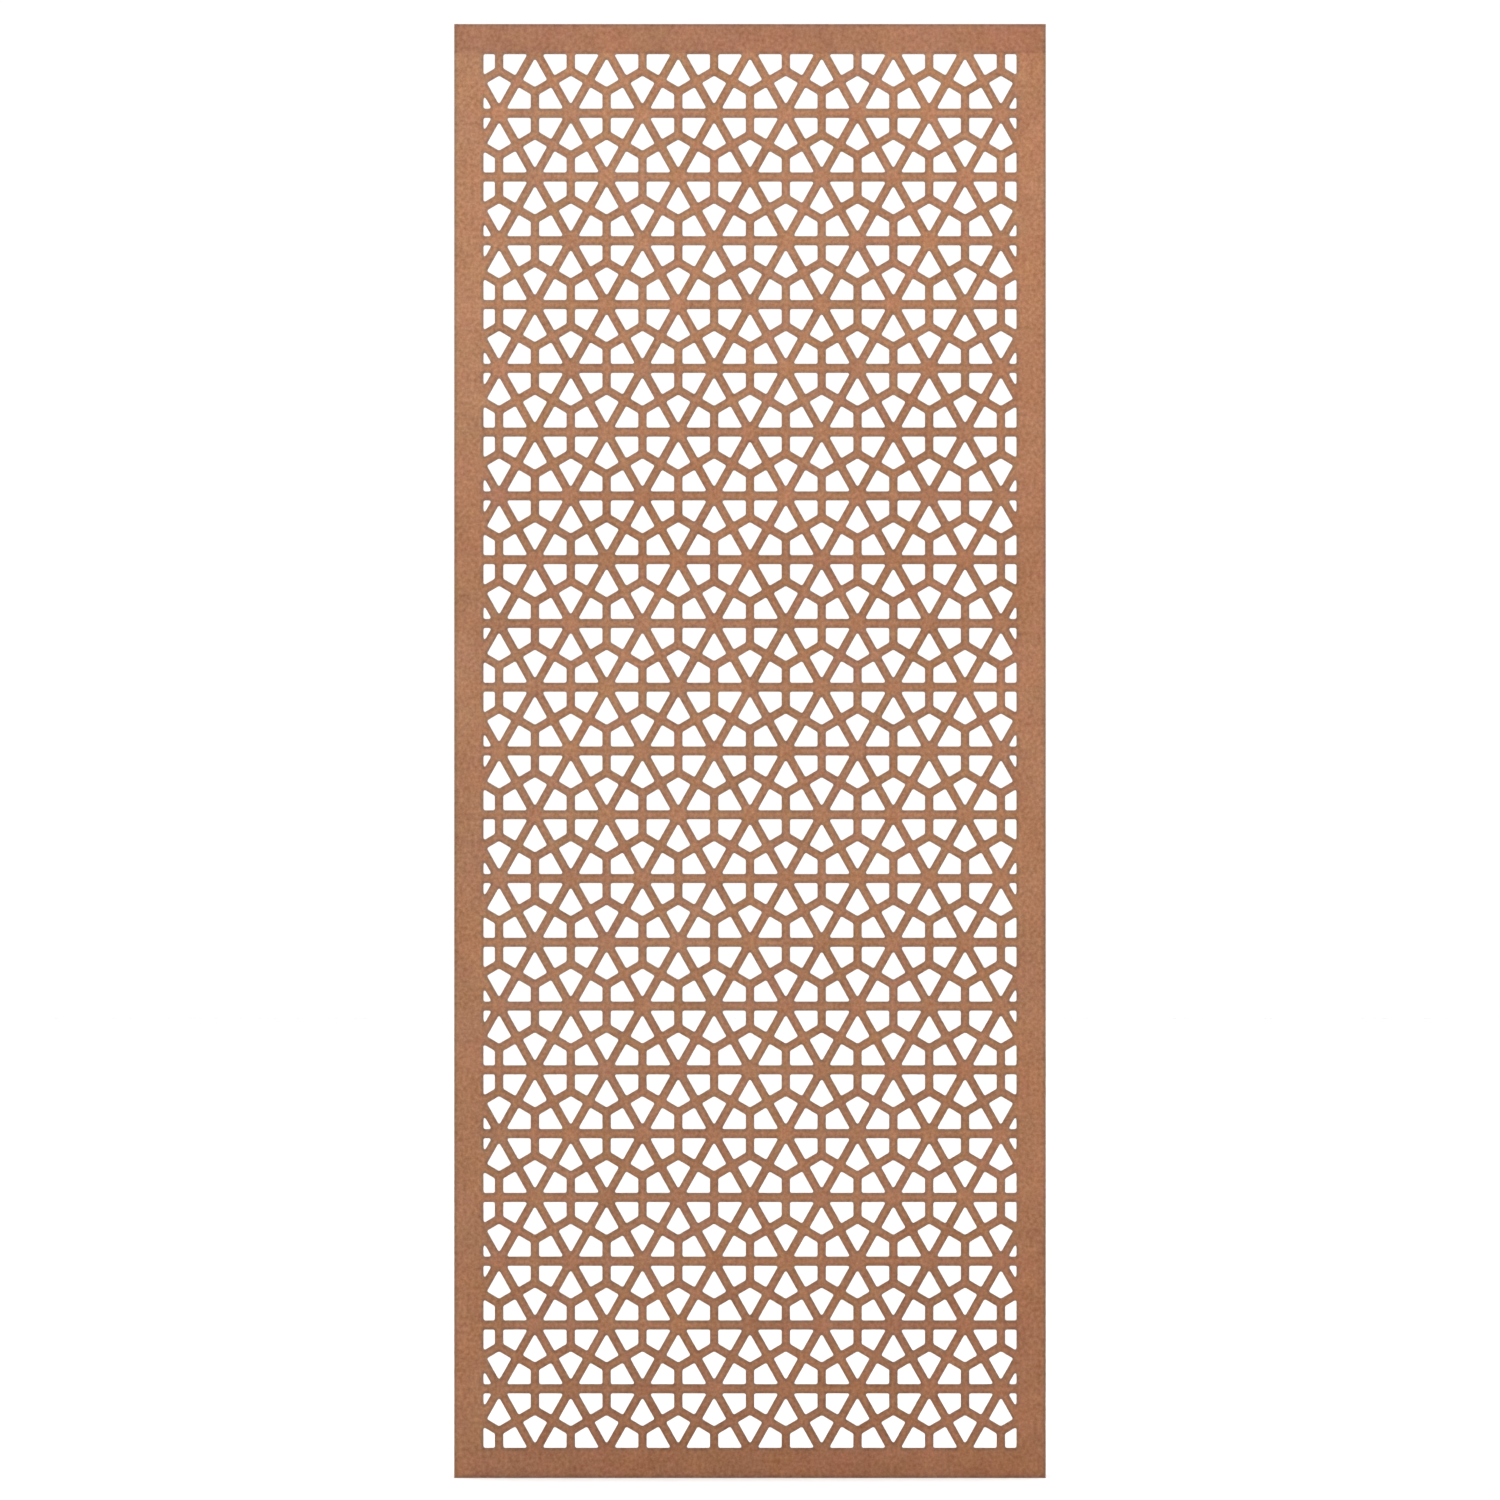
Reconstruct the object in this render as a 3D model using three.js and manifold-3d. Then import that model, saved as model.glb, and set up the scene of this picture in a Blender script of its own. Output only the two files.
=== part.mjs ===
// A partition panel: one sheet of fibreboard, cut through all over with a lattice of kites.
// Lengths are millimetres. X runs across the panel, Y through it and Z up, and the origin is
// the centre of the bottom edge. The front looks towards -Y.
import * as THREE from "three";
import { mergeGeometries, mergeVertices } from "three/addons/utils/BufferGeometryUtils.js";
import Module from "manifold-3d";

const wasm = await Module();
wasm.setup();

// The sheet and its plain border
const panelWidth = 830;
const panelHeight = 2040;
const thickness = 8;
const sideBorder = 41;
const endBorder = 42;

// The lattice: rows of nodes, each row half a pitch beside the next, joined into triangles
const nodePitch = 100.6;
const rowPitch = 89.5;
const barWidth = 11.8;
const levelBarWidth = 12.7; // the bars along the rows are a little wider than the others
const smallestOpening = 60; // square millimetres: what the border leaves of a kite, if less, stays shut

// The sheet is held as two solids, which meet at mid-height along the bar of the middle row
const seam = 0.3;
const overcut = 1; // how far a cutter stands out of each face of the sheet

const levelWithin = 1e-6; // a bar that climbs less than this over its length is level
const middleHeight = panelHeight / 2;
const field = new THREE.Box2(
  new THREE.Vector2(-panelWidth / 2 + sideBorder, endBorder),
  new THREE.Vector2(panelWidth / 2 - sideBorder, panelHeight - endBorder),
);

const fibreboard = new THREE.MeshStandardMaterial({
  color: 0xae7c5f,
  roughness: 0.85,
  metalness: 0,
  flatShading: true,
});

// The part of a convex outline that lies on the side of a line to which its normal points.
function keepBeyond(outline, pointOnLine, normal) {
  const kept = [];
  outline.forEach((start, index) => {
    const end = outline[(index + 1) % outline.length];
    const startHeight = start.clone().sub(pointOnLine).dot(normal);
    const endHeight = end.clone().sub(pointOnLine).dot(normal);
    if (startHeight >= 0) kept.push(start);
    if (startHeight * endHeight < 0) {
      kept.push(start.clone().lerp(end, startHeight / (startHeight - endHeight)));
    }
  });
  return kept;
}

// What a bar centred on each side of a kite leaves open of it. Corners run anticlockwise.
function insideBars(kite) {
  return kite.reduce((outline, start, index) => {
    const along = kite[(index + 1) % kite.length].clone().sub(start).normalize();
    const inward = new THREE.Vector2(-along.y, along.x);
    const width = Math.abs(along.y) < levelWithin ? levelBarWidth : barWidth;
    return keepBeyond(outline, inward.clone().multiplyScalar(width / 2).add(start), inward);
  }, kite);
}

// What the border leaves open of an outline.
function insideField(outline) {
  const sides = [
    [field.min, new THREE.Vector2(1, 0)],
    [field.max, new THREE.Vector2(-1, 0)],
    [field.min, new THREE.Vector2(0, 1)],
    [field.max, new THREE.Vector2(0, -1)],
  ];
  return sides.reduce((left, [corner, inward]) => keepBeyond(left, corner, inward), outline);
}

// A triangle of the lattice as three kites: each joins one corner, the middles of its two
// sides and the middle of the triangle, where three short bars meet.
function kitesOf(corners) {
  const centre = new THREE.Vector2();
  corners.forEach((corner) => centre.addScaledVector(corner, 1 / 3));
  return corners.map((corner, index) => {
    const next = corners[(index + 1) % 3];
    const last = corners[(index + 2) % 3];
    return [
      corner,
      corner.clone().lerp(next, 0.5),
      centre,
      corner.clone().lerp(last, 0.5),
    ];
  });
}

// The triangles between a row and the row above it. The middle row is number 0.
function trianglesAbove(row) {
  const low = middleHeight + row * rowPitch;
  const high = low + rowPitch;
  const firstNode = row % 2 === 0 ? nodePitch / 2 : 0;
  const reach = Math.ceil(panelWidth / 2 / nodePitch) + 1;
  const triangles = [];
  for (let column = -reach; column < reach; column++) {
    const x = firstNode + column * nodePitch;
    const lowNodes = [x, x + nodePitch].map((each) => new THREE.Vector2(each, low));
    const highNodes = [x + nodePitch / 2, x + 1.5 * nodePitch].map(
      (each) => new THREE.Vector2(each, high),
    );
    triangles.push([lowNodes[0], lowNodes[1], highNodes[0]]);
    triangles.push([lowNodes[1], highNodes[1], highNodes[0]]);
  }
  return triangles;
}

function openingsAbove(row) {
  return trianglesAbove(row)
    .flatMap(kitesOf)
    .map((kite) => insideField(insideBars(kite)))
    .filter((outline) => outline.length > 2 && THREE.ShapeUtils.area(outline) >= smallestOpening);
}

// A plate of the given outline, with half of its depth on each side of the drawing plane.
function plate(outline, depth) {
  const geometry = new THREE.ExtrudeGeometry(new THREE.Shape(outline), {
    depth,
    bevelEnabled: false,
  });
  return geometry.translate(0, 0, -depth / 2);
}

// A closed mesh, with its shared corners joined, as a solid that can be cut.
function solidFrom(geometry) {
  geometry.deleteAttribute("normal");
  geometry.deleteAttribute("uv");
  const merged = mergeVertices(geometry);
  return new wasm.Manifold(
    new wasm.Mesh({
      numProp: 3,
      vertProperties: merged.attributes.position.array,
      triVerts: new Uint32Array(merged.index.array),
    }),
  );
}

function geometryFrom(solid) {
  const { vertProperties, triVerts } = solid.getMesh();
  const geometry = new THREE.BufferGeometry();
  geometry.setAttribute("position", new THREE.BufferAttribute(vertProperties, 3));
  geometry.setIndex(new THREE.BufferAttribute(triVerts, 1));
  return geometry;
}

// The stretch of the sheet from one height to another, with the openings of the given rows.
function sheetHalf(name, bottom, top, rows) {
  const blank = [
    new THREE.Vector2(-panelWidth / 2, bottom),
    new THREE.Vector2(panelWidth / 2, bottom),
    new THREE.Vector2(panelWidth / 2, top),
    new THREE.Vector2(-panelWidth / 2, top),
  ];
  const cutters = rows
    .flatMap(openingsAbove)
    .map((outline) => plate(outline, thickness + 2 * overcut));
  const half = solidFrom(plate(blank, thickness)).subtract(solidFrom(mergeGeometries(cutters)));
  const mesh = new THREE.Mesh(geometryFrom(half), fibreboard);
  mesh.name = name;
  return mesh;
}

const rowsEachWay = Math.ceil(middleHeight / rowPitch);
const upperRows = Array.from({ length: rowsEachWay }, (_, index) => index);
const lowerRows = upperRows.map((row) => -1 - row);

// The sheet is drawn lying in the XY plane and stood up on its bottom edge.
const panel = new THREE.Group();
panel.rotation.x = Math.PI / 2;
panel.add(
  sheetHalf("panel_lower", 0, middleHeight - seam / 2, lowerRows),
  sheetHalf("panel_upper", middleHeight + seam / 2, panelHeight, upperRows),
);

const root = new THREE.Group();
root.add(panel);

export default root;
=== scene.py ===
import math

import bmesh
import bpy
from mathutils import Matrix, Vector


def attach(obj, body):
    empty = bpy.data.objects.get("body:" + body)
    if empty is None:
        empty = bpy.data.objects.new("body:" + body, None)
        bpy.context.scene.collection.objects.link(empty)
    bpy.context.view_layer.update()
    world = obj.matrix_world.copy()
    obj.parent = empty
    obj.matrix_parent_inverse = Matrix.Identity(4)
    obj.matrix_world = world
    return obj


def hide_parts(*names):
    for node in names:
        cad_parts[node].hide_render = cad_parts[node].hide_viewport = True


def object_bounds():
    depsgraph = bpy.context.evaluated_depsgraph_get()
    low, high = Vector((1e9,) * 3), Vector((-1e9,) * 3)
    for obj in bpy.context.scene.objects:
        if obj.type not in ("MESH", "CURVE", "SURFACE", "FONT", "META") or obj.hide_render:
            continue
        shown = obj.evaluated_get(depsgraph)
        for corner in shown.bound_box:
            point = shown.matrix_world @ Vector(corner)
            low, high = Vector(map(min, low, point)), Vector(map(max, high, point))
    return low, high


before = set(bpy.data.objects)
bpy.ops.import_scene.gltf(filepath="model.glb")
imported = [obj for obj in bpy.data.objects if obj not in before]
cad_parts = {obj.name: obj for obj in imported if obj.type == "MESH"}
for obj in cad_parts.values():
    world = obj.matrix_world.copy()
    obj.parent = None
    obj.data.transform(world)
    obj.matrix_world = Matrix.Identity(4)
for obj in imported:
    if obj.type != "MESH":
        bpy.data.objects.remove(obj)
cadLow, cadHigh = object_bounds()
print('frame loaded')


# Shader maths: a Wire holds one socket of a node tree, and sums on it add Math nodes

class Wire:
    def __init__(self, tree, socket=None):
        self.tree = tree
        self.socket = socket

    def node(self, kind, settings=None, inputs=None, output=0):
        made = self.tree.nodes.new(kind)
        for name, setting in (settings or {}).items():
            setattr(made, name, setting)
        for name, value in (inputs or {}).items():
            if isinstance(value, Wire):
                self.tree.links.new(value.socket, made.inputs[name])
            else:
                made.inputs[name].default_value = value
        return Wire(self.tree, made.outputs[output] if made.outputs else None)

    def maths(self, operation, first, second):
        return self.node('ShaderNodeMath', {'operation': operation}, {0: first, 1: second})

    def __add__(self, other):
        return self.maths('ADD', self, other)

    def __sub__(self, other):
        return self.maths('SUBTRACT', self, other)

    def __mul__(self, other):
        return self.maths('MULTIPLY', self, other)

    def __rsub__(self, other):
        return self.maths('SUBTRACT', other, self)

    __radd__ = __add__
    __rmul__ = __mul__

    def within(self, low, high):  # 0 below low, 1 above high, even between them
        inputs = {'Value': self, 'From Min': low, 'From Max': high}
        return self.node('ShaderNodeMapRange', {}, inputs)

    def swing(self, strength):  # a noise, which is 0.5 on average, as a change either way
        return (self - 0.5) * strength

    # A Mix node takes its colours at 6 and 7, and gives one at 2

    def mixed(self, first, second):  # the first colour at 0, the second at 1
        settings = {'data_type': 'RGBA'}
        return self.node('ShaderNodeMix', settings, {'Factor': self, 6: first, 7: second}, 2)

    def tinted(self, tint):  # a colour times a colour
        settings = {'data_type': 'RGBA', 'blend_type': 'MULTIPLY'}
        return self.node('ShaderNodeMix', settings, {'Factor': 1.0, 6: self, 7: tint}, 2)

    def parts(self):  # a vector's or a colour's three numbers
        outputs = self.node('ShaderNodeSeparateXYZ', {}, {'Vector': self}).socket.node.outputs
        return [Wire(self.tree, output) for output in outputs]

    def joined(self, x, y, z):
        return self.node('ShaderNodeCombineXYZ', {}, {'X': x, 'Y': y, 'Z': z})

    def noise(self, size, detail=0, roughness=0.5, distortion=0, output=0):
        # Clouds of that size, in metres
        inputs = {'Vector': self, 'Scale': 1 / size, 'Detail': detail}
        inputs.update({'Roughness': roughness, 'Distortion': distortion})
        return self.node('ShaderNodeTexNoise', {}, inputs, output)


def newTree(owner):
    owner.use_nodes = True
    owner.node_tree.nodes.clear()
    return Wire(owner.node_tree)


# Raw fibreboard. Sizes are metres, and strengths are shares of the board's own tone

board = {
    # The tone runs between these two with the light and dark of the fibres
    'darkTone': (0.238, 0.088, 0.040, 1), 'lightTone': (0.580, 0.292, 0.170, 1),
    'evenLight': 0.5,
    'grainNoise': {'size': 0.0053, 'detail': 1}, 'grain': 0.90,
    'fluffNoise': {'size': 0.0019, 'detail': 2, 'roughness': 0.6, 'distortion': 0.6},
    'fluff': 0.60,
    'cloudNoise': {'size': 0.030, 'detail': 2}, 'cloud': 0.42,
    'driftNoise': {'size': 0.16, 'detail': 1}, 'drift': 0.25,
    'speckSize': 0.024, 'speckReach': 0.07, 'speck': 0.30,  # small dark specks, far apart
    # Tints that the tone is multiplied by. Heights are shares of the sheet's own
    'hueNoise': {'size': 0.080, 'detail': 5, 'roughness': 0.8}, 'hueRange': (0.3, 0.7),
    'oliveTint': (0.982, 1.054, 0.965, 1), 'redTint': (1.018, 0.946, 1.035, 1),
    'warmTint': (1.042, 1.000, 0.925, 1), 'greyTint': (0.958, 1.000, 1.075, 1),
    # Painted shade: the sheet is tinted darker towards its foot and a little lighter above, as
    # light from overhead falls on it
    'footPaintedShade': (0.966, 0.910, 0.845, 1), 'bodyPaintedLight': (1.024, 1.027, 0.984, 1),
    'footShadeReach': 0.40,
    'waistTint': (0.957, 0.916, 0.896, 1),  # a faint dark band above the middle
    'waistFoot': (0.56, 0.63), 'waistHead': (0.64, 0.78),  # where it comes in, and goes out
    'leftTint': (1.000, 1.020, 1.020, 1), 'rightTint': (0.990, 0.965, 0.940, 1),
    'headStripTint': (0.845, 0.810, 0.840, 1),  # the border at the head is darker
    'headStripFade': 0.002,
    'noTint': (1, 1, 1, 1),
    # Beside the cuts: 0 on the plain face, 1 where the broken edge begins, 2 in the wall
    'stripRange': (0, 0.45), 'arrisRange': (1, 1.3), 'wallRange': (1.6, 2),
    'stripTint': (0.76, 0.88, 0.99, 1),  # a darker strip beside each opening and along the outline
    'arrisTint': (1.35, 1.10, 0.80, 1),  # the broken edge is rubbed pale
    'wallDark': (0.105, 0.050, 0.028, 1), 'wallLight': (0.230, 0.118, 0.070, 1),
    'streakNoise': {'size': 0.0011, 'detail': 2}, 'streakRange': (0.25, 0.75),
    'streakLength': 8,  # the cutter's marks run through the thickness, 8 times as long as wide
    'roughness': 0.74, 'wallRoughness': 0.88, 'roughnessChange': 0.12,
    'shine': 0.25,
    'fluffRelief': 0.6, 'grainRelief': 0.4, 'bumpHeight': 0.00022, 'bump': 0.35,
}


def boardMaterial(width, height):
    material = bpy.data.materials.new('fibreboard')
    start = newTree(material)
    cut = start.node('ShaderNodeAttribute', {'attribute_name': 'cut'}, output='Fac')
    strip = cut.within(*board['stripRange'])
    arris = cut.within(*board['arrisRange'])
    wall = cut.within(*board['wallRange'])

    # On the two faces the pattern doesn't change with the depth, so that it is the same on both
    x, y, z = start.node('ShaderNodeTexCoord', output='Object').parts()
    place = start.joined(x, y * wall, z)
    grain = place.noise(**board['grainNoise'])
    fluff = place.noise(**board['fluffNoise'])
    cloud = place.noise(**board['cloudNoise'])
    drift = place.noise(**board['driftNoise'])
    speckPlace = {'Vector': place, 'Scale': 1 / board['speckSize']}
    specks = place.node('ShaderNodeTexVoronoi', {}, speckPlace)
    light = board['evenLight'] + grain.swing(board['grain']) + fluff.swing(board['fluff'])
    light = light + cloud.swing(board['cloud']) + drift.swing(board['drift'])
    light = light - (1 - specks.within(0, board['speckReach'])) * board['speck']
    tone = light.mixed(board['darkTone'], board['lightTone'])

    first, second, _ = place.noise(**board['hueNoise'], output='Color').parts()
    firstHue, secondHue = first.within(*board['hueRange']), second.within(*board['hueRange'])
    tone = tone.tinted(firstHue.mixed(board['oliveTint'], board['redTint']))
    tone = tone.tinted(secondHue.mixed(board['warmTint'], board['greyTint']))
    risen = z * (1 / height)
    # Painted shade: darker towards the foot, fading out at footShadeReach of the height
    foot = risen.within(0, board['footShadeReach'])
    tone = tone.tinted(foot.mixed(board['footPaintedShade'], board['bodyPaintedLight']))
    waist = risen.within(*board['waistFoot']) - risen.within(*board['waistHead'])
    tone = tone.tinted(waist.mixed(board['noTint'], board['waistTint']))
    across = x.within(-width / 2, width / 2)
    tone = tone.tinted(across.mixed(board['leftTint'], board['rightTint']))
    stripFoot = height - panelSizes['endBorder']
    headStrip = z.within(stripFoot, stripFoot + board['headStripFade'])
    tone = tone.tinted(headStrip.mixed(board['noTint'], board['headStripTint']))

    faceTone = strip.mixed(tone, tone.tinted(board['stripTint']))
    faceTone = arris.mixed(faceTone, tone.tinted(board['arrisTint']))
    alongStreak = start.joined(x, y * (1 / board['streakLength']), z)
    streaks = alongStreak.noise(**board['streakNoise'])
    wallTone = streaks.within(*board['streakRange']).mixed(board['wallDark'], board['wallLight'])
    colour = wall.mixed(faceTone, wallTone)

    roughness = board['roughness'] + fluff.swing(board['roughnessChange'])
    roughness = roughness + wall * (board['wallRoughness'] - board['roughness'])
    relief = fluff * board['fluffRelief'] + grain * board['grainRelief'] + streaks * wall
    normal = start.node('ShaderNodeBump', {}, {
        'Strength': board['bump'], 'Distance': board['bumpHeight'], 'Height': relief,
    })
    shader = start.node('ShaderNodeBsdfPrincipled', {}, {
        'Base Color': colour, 'Roughness': roughness,
        'Specular IOR Level': board['shine'], 'Normal': normal,
    })
    start.node('ShaderNodeOutputMaterial', {}, {'Surface': shader})
    return material


# The sheet. It is drawn lying in the XY plane, foot towards -Y, and stood up at the end

panelSizes = {
    'sideBorder': 0.041, 'endBorder': 0.042,  # the plain strip left round the lattice
    'nodePitch': 0.1006, 'rowPitch': 0.0895,  # rows of nodes, each half a pitch beside the next
    'barWidth': 0.0118, 'levelBarWidth': 0.0127,
    'smallestOpening': 60e-6,  # square metres: where the border leaves less of a kite, none is cut
    'cornerRadius': 0.0024,
    'facetTurn': 42,  # degrees: a rounding has about one facet for so much of a turn
    'mostOfEdge': 0.92,  # how much of an edge the roundings at its two ends may take
    'offsetStep': 0.0001,  # roundings that take the same number of these steps are made together
    'cutStrip': 0.0048,  # the strip round each opening and along the outline that is tinted darker
    'fillTurns': (7, 11, 17, 29, 37),  # degrees
    'arris': 0.0003,  # the broken edge of each cut
    'sharpTurn': 60,  # degrees: a fold sharper than this isn't smoothed over
}
mapSizes = {
    'margin': 0.010,  # left round the sheet
    'wallReach': 0.5,  # how far an opening's walls reach towards its middle
    'outerWall': 0.008,  # how far the sheet's own walls reach outwards
}


def vertsOf(geometry):
    return [each for each in geometry if isinstance(each, bmesh.types.BMVert)]


def everything(bm):
    return bm.verts[:] + bm.edges[:] + bm.faces[:]


def placeOf(edge):
    # To sort edges by, because an operator may number what it makes anew in each run
    return sorted(tuple(round(length, 6) for length in vert.co) for vert in edge.verts)


def drawTriangle(bm):
    # One triangle of the lattice as three kites, each inset by half a bar
    pitch, rise = panelSizes['nodePitch'], panelSizes['rowPitch']
    evenRise = pitch * math.sqrt(3) / 2  # a triangle with equal sides would rise so far
    bmesh.ops.create_circle(bm, cap_ends=True, segments=3, radius=pitch / math.sqrt(3))
    bmesh.ops.scale(bm, vec=(1, rise / evenRise, 1), verts=bm.verts)
    middles = vertsOf(bmesh.ops.bisect_edges(bm, edges=bm.edges[:], cuts=1)['geom_split'])
    centre = bmesh.ops.poke(bm, faces=bm.faces[:])['verts'][0]
    spokes = [edge for edge in centre.link_edges if edge.other_vert(centre) not in middles]
    bmesh.ops.dissolve_edges(bm, edges=spokes)
    halfBar, halfLevelBar = panelSizes['barWidth'] / 2, panelSizes['levelBarWidth'] / 2
    bars = bmesh.ops.inset_individual(
        bm, faces=bm.faces[:], thickness=halfBar, use_even_offset=True)['faces']
    bmesh.ops.delete(bm, geom=bars, context='FACES')
    bmesh.ops.translate(bm, vec=(pitch / 2, rise / 3, 0), verts=bm.verts)
    bmesh.ops.bisect_plane(
        bm, geom=everything(bm), plane_co=(0, halfLevelBar, 0), plane_no=(0, -1, 0),
        clear_outer=True)


def repeatTriangles(bm, width, height):
    # The hanging triangle beside it, turned about the side they share, then the pair all over
    pitch, rise = panelSizes['nodePitch'], panelSizes['rowPitch']
    hanging = vertsOf(bmesh.ops.duplicate(bm, geom=everything(bm))['geom'])
    turn = Matrix.Rotation(math.pi, 3, 'Z')
    bmesh.ops.rotate(bm, cent=(pitch * 3 / 4, rise / 2, 0), matrix=turn, verts=hanging)
    pair = everything(bm)
    rows = math.ceil(height / 2 / rise)
    columns = math.ceil(width / 2 / pitch) + 1
    for row in range(-rows, rows):
        first = pitch / 2 if row % 2 == 0 else 0
        for column in range(-columns, columns):
            copy = vertsOf(bmesh.ops.duplicate(bm, geom=pair)['geom'])
            shift = (first + column * pitch, height / 2 + row * rise, 0)
            bmesh.ops.translate(bm, vec=shift, verts=copy)
    bmesh.ops.delete(bm, geom=vertsOf(pair), context='VERTS')


def trimToBorder(bm, width, height):
    right = width / 2 - panelSizes['sideBorder']
    low, high = panelSizes['endBorder'], height - panelSizes['endBorder']
    for point, outward in (
        ((right, 0, 0), (1, 0, 0)), ((-right, 0, 0), (-1, 0, 0)),
        ((0, high, 0), (0, 1, 0)), ((0, low, 0), (0, -1, 0)),
    ):
        bmesh.ops.bisect_plane(
            bm, geom=everything(bm), plane_co=point, plane_no=outward, clear_outer=True)
    slivers = [face for face in bm.faces if face.calc_area() < panelSizes['smallestOpening']]
    bmesh.ops.delete(bm, geom=slivers, context='FACES')


def roundCorners(bm):
    # A rounding takes a length of the two edges at its corner. Short edges are shared out
    radius, step = panelSizes['cornerRadius'], panelSizes['offsetStep']
    alike = {}
    for face in bm.faces:
        needs = [radius / math.tan(loop.calc_angle() / 2) for loop in face.loops]
        shares = []
        for index, loop in enumerate(face.loops):
            need = needs[index] + needs[(index + 1) % len(needs)]
            shares.append(min(1, panelSizes['mostOfEdge'] * loop.edge.calc_length() / need))
        for index, loop in enumerate(face.loops):
            offset = needs[index] * min(shares[index], shares[index - 1])
            turn = math.pi - loop.calc_angle()
            facets = max(1, round(turn / math.radians(panelSizes['facetTurn'])))
            steps = max(1, math.floor(offset / step))
            alike.setdefault((facets, steps), []).append(loop.vert)
    for (facets, steps), corners in alike.items():
        bmesh.ops.bevel(
            bm, geom=corners, offset=steps * step, offset_type='OFFSET', segments=facets,
            profile=0.5, affect='VERTICES', material=-1)


def drawFace(bm, width, height):
    # A strip round each opening and along the outline, and the face filled in between them
    strip = panelSizes['cutStrip']
    openings = bm.faces[:]
    middle = bm.verts.layers.float_vector['middle']
    for face in openings:
        for vert in face.verts:
            vert[middle] = face.calc_center_median()
    bmesh.ops.inset_individual(bm, faces=openings, thickness=-strip, use_even_offset=True)
    outline = bmesh.ops.create_grid(bm, x_segments=1, y_segments=1, size=0.5)['verts']
    sheet = outline[0].link_faces[0]
    bmesh.ops.scale(bm, vec=(width, height, 1), verts=outline)
    bmesh.ops.translate(bm, vec=(0, height / 2, 0), verts=outline)
    for vert in outline:
        upOrDown = vert.co.y - height / 2
        away = Vector((math.copysign(1, vert.co.x), math.copysign(1, upOrDown), 0))
        vert[middle] = vert.co + away * mapSizes['outerWall'] / mapSizes['wallReach']
    bmesh.ops.inset_individual(bm, faces=[sheet], thickness=strip, use_even_offset=True)
    between = [edge for face in openings + [sheet] for edge in face.edges]
    between.sort(key=placeOf)
    bmesh.ops.delete(bm, geom=openings + [sheet], context='FACES_ONLY')
    fillBetween(bm, between)
    bmesh.ops.recalc_face_normals(bm, faces=bm.faces[:])


def fillBetween(bm, between):
    # Corners in a straight row can spoil the fill, so the drawing is turned while it is filled
    places = [vert.co.copy() for vert in bm.verts]
    for degrees in panelSizes['fillTurns']:
        turn = Matrix.Rotation(math.radians(degrees), 3, 'Z')
        bmesh.ops.rotate(bm, cent=(0, 0, 0), matrix=turn, verts=bm.verts)
        made = bmesh.ops.triangle_fill(
            bm, edges=between, use_beauty=True, use_dissolve=False)['geom']
        for vert, place in zip(bm.verts, places):
            vert.co = place
        joined = all(len(edge.link_faces) == 2 for edge in between)
        if joined and all(len(edge.link_faces) < 3 for edge in bm.edges):
            print('face filled, turned by', degrees)
            return
        spoilt = [each for each in made if isinstance(each, bmesh.types.BMEdge)]
        bmesh.ops.delete(bm, geom=spoilt, context='EDGES')
    raise RuntimeError('the face between the openings could not be filled')


def kindOf(face):  # 0 in the cut wall, 1 on the broken edge, 2 on the flat
    return round(2 * abs(face.normal.z) ** 2)


def raiseSheet(bm, thickness):
    raised = bmesh.ops.extrude_face_region(bm, geom=bm.faces[:])['geom']
    bmesh.ops.translate(bm, vec=(0, 0, thickness), verts=vertsOf(raised))
    bmesh.ops.translate(bm, vec=(0, 0, -thickness / 2), verts=bm.verts)
    bmesh.ops.recalc_face_normals(bm, faces=bm.faces[:])
    arrises = []
    for edge in bm.edges:
        first, second = edge.link_faces
        if kindOf(first) != kindOf(second):
            arrises.append(edge)
    bmesh.ops.bevel(
        bm, geom=arrises, offset=panelSizes['arris'], offset_type='OFFSET', segments=1,
        profile=0.5, affect='EDGES', material=-1, clamp_overlap=False, loop_slide=True)


def markCuts(bm):
    # 0 on the plain face, 1 where the broken edge begins, 2 in the cut
    cut = bm.verts.layers.float['cut']
    for vert in bm.verts:
        kinds = {kindOf(face) for face in vert.link_faces}
        vert[cut] = 2 if 0 in kinds else 1 if 1 in kinds else 0
    for face in bm.faces:
        face.smooth = True
    sharp = math.radians(panelSizes['sharpTurn'])
    for edge in bm.edges:
        first, second = edge.link_faces
        edge.smooth = kindOf(first) == kindOf(second) and edge.calc_face_angle() < sharp


def layOutMap(bm, width, height, thickness):
    # The two faces share one map. Each opening's walls are drawn inside it, and the sheet's
    # own walls round it
    middle = bm.verts.layers.float_vector['middle']
    layer = bm.loops.layers.uv.new('OFBake')
    margin = mapSizes['margin']
    for face in bm.faces:
        inWall = kindOf(face) == 0
        for loop in face.loops:
            vert = loop.vert
            place = vert.co.copy()
            if inWall:
                depth = 0.5 - vert.co.z / thickness
                place += (vert[middle] - vert.co) * depth * mapSizes['wallReach']
            across = (place.x + width / 2 + margin) / (width + 2 * margin)
            up = (place.y + margin) / (height + 2 * margin)
            loop[layer].uv = (across, up)


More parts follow.
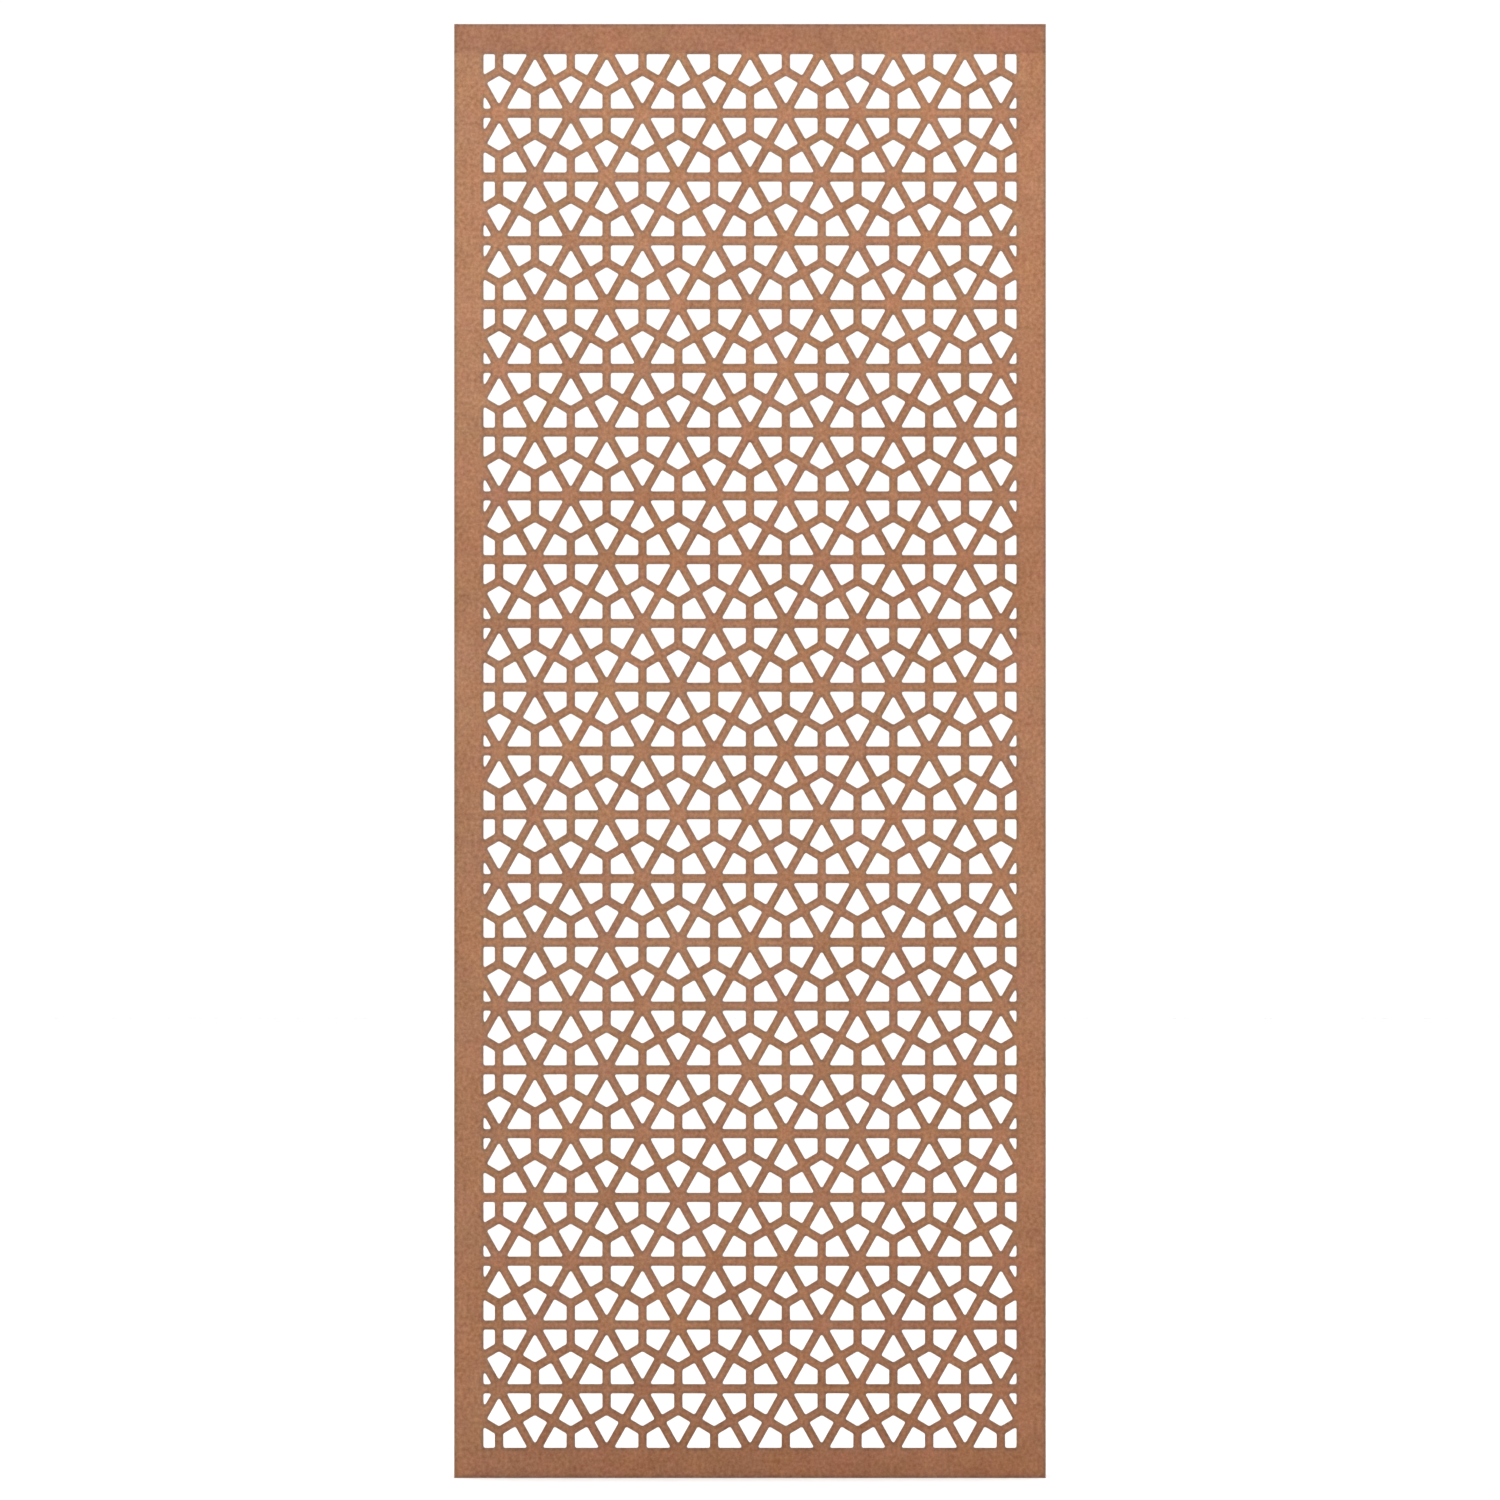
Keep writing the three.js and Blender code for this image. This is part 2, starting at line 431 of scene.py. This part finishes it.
def makePanel():
    width, thickness, height = cadHigh - cadLow
    bm = bmesh.new()
    bm.verts.layers.float.new('cut')
    bm.verts.layers.float_vector.new('middle')
    drawTriangle(bm)
    repeatTriangles(bm, width, height)
    trimToBorder(bm, width, height)
    print('openings:', len(bm.faces))
    roundCorners(bm)
    drawFace(bm, width, height)
    raiseSheet(bm, thickness)
    markCuts(bm)
    layOutMap(bm, width, height, thickness)
    upright = Matrix.Rotation(math.pi / 2, 3, 'X')
    bmesh.ops.rotate(bm, cent=(0, 0, 0), matrix=upright, verts=bm.verts)
    openEdges = sum(not edge.is_manifold for edge in bm.edges)
    print('panel triangles:', sum(len(face.verts) - 2 for face in bm.faces))
    print('open edges:', openEdges, 'volume:', bm.calc_volume())
    mesh = bpy.data.meshes.new('panel')
    bm.to_mesh(mesh)
    bm.free()
    panel = bpy.data.objects.new('panel', mesh)
    bpy.context.scene.collection.objects.link(panel)
    mesh.materials.append(boardMaterial(width, height))
    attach(panel, 'root')
    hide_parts('panel_lower', 'panel_upper')


makePanel()
print('panel made')


# The studio: a pale floor, a white surround, an even light from above and one broad lamp

studio = {
    'floorSide': 60, 'floorTone': (0.86, 0.86, 0.86, 1), 'floorRoughness': 0.9, 'floorShine': 0.0,
    'surroundTone': (1, 1, 1, 1),
    'surround': 1.02, 'ceiling': 0.15,  # the surround's light at the horizon and overhead
    'ceilingRange': (0.07, 0.25),  # from 0 at the horizon to 1 overhead
    'skyPower': 3.3, 'skyWidth': 12,  # straight down, and its width in degrees
    'lampSize': (3.0, 2.0), 'lampPlace': (0, -1.9, 3.3), 'lampTilt': 45, 'lampPower': 37,
}


def makeFloor():
    bm = bmesh.new()
    bmesh.ops.create_grid(bm, x_segments=1, y_segments=1, size=studio['floorSide'] / 2)
    mesh = bpy.data.meshes.new('floor')
    bm.to_mesh(mesh)
    bm.free()
    floor = bpy.data.objects.new('floor', mesh)
    floor.location.z = cadLow.z
    bpy.context.scene.collection.objects.link(floor)
    material = bpy.data.materials.new('floor')
    start = newTree(material)
    shader = start.node('ShaderNodeBsdfPrincipled', {}, {
        'Base Color': studio['floorTone'], 'Roughness': studio['floorRoughness'],
        'Specular IOR Level': studio['floorShine'],
    })
    start.node('ShaderNodeOutputMaterial', {}, {'Surface': shader})
    mesh.materials.append(material)


def makeSurround():
    world = bpy.data.worlds.new('surround')
    bpy.context.scene.world = world
    start = newTree(world)
    _, _, rise = start.node('ShaderNodeTexCoord', output='Generated').parts()
    overhead = rise.within(*studio['ceilingRange'])
    strength = studio['surround'] + overhead * (studio['ceiling'] - studio['surround'])
    light = start.node('ShaderNodeBackground', {}, {
        'Color': studio['surroundTone'], 'Strength': strength,
    })
    start.node('ShaderNodeOutputWorld', {}, {'Surface': light})


def makeLamps():
    sky = bpy.data.lights.new('sky', 'SUN')
    sky.energy, sky.angle = studio['skyPower'], math.radians(studio['skyWidth'])
    bpy.context.scene.collection.objects.link(bpy.data.objects.new('sky', sky))
    light = bpy.data.lights.new('softbox', 'AREA')
    light.shape = 'RECTANGLE'
    light.size, light.size_y = studio['lampSize']
    light.energy = studio['lampPower']
    softbox = bpy.data.objects.new('softbox', light)
    softbox.location = studio['lampPlace']
    softbox.rotation_euler.x = math.radians(studio['lampTilt'])
    bpy.context.scene.collection.objects.link(softbox)


makeFloor()
makeSurround()
makeLamps()
print('studio made')


# The camera looks straight at the front. The photograph is square, and its sizes are pixels

photo = {'side': 1500, 'panelHeight': 1454.0, 'panelMiddle': (750.0, 751.0)}
camera = {'lens': 300, 'sensor': 36, 'farthest': 200}  # millimetres, and the last in metres


def makeCamera():
    data = bpy.data.cameras.new('camera')
    data.lens, data.sensor_width = camera['lens'], camera['sensor']
    data.clip_end = camera['farthest']
    made = bpy.data.objects.new('camera', data)
    bpy.context.scene.collection.objects.link(made)
    pixel = (cadHigh.z - cadLow.z) / photo['panelHeight']
    x, y = photo['panelMiddle']
    half = photo['side'] / 2
    middle = (cadLow + cadHigh) / 2
    distance = photo['side'] * pixel * camera['lens'] / camera['sensor']
    made.location = (
        middle.x + (half - x) * pixel, cadLow.y - distance, middle.z + (y - half) * pixel)
    made.rotation_euler = (math.pi / 2, 0, 0)
    bpy.context.scene.camera = made


makeCamera()
bpy.context.scene.view_settings.view_transform = 'Standard'
print('camera made')
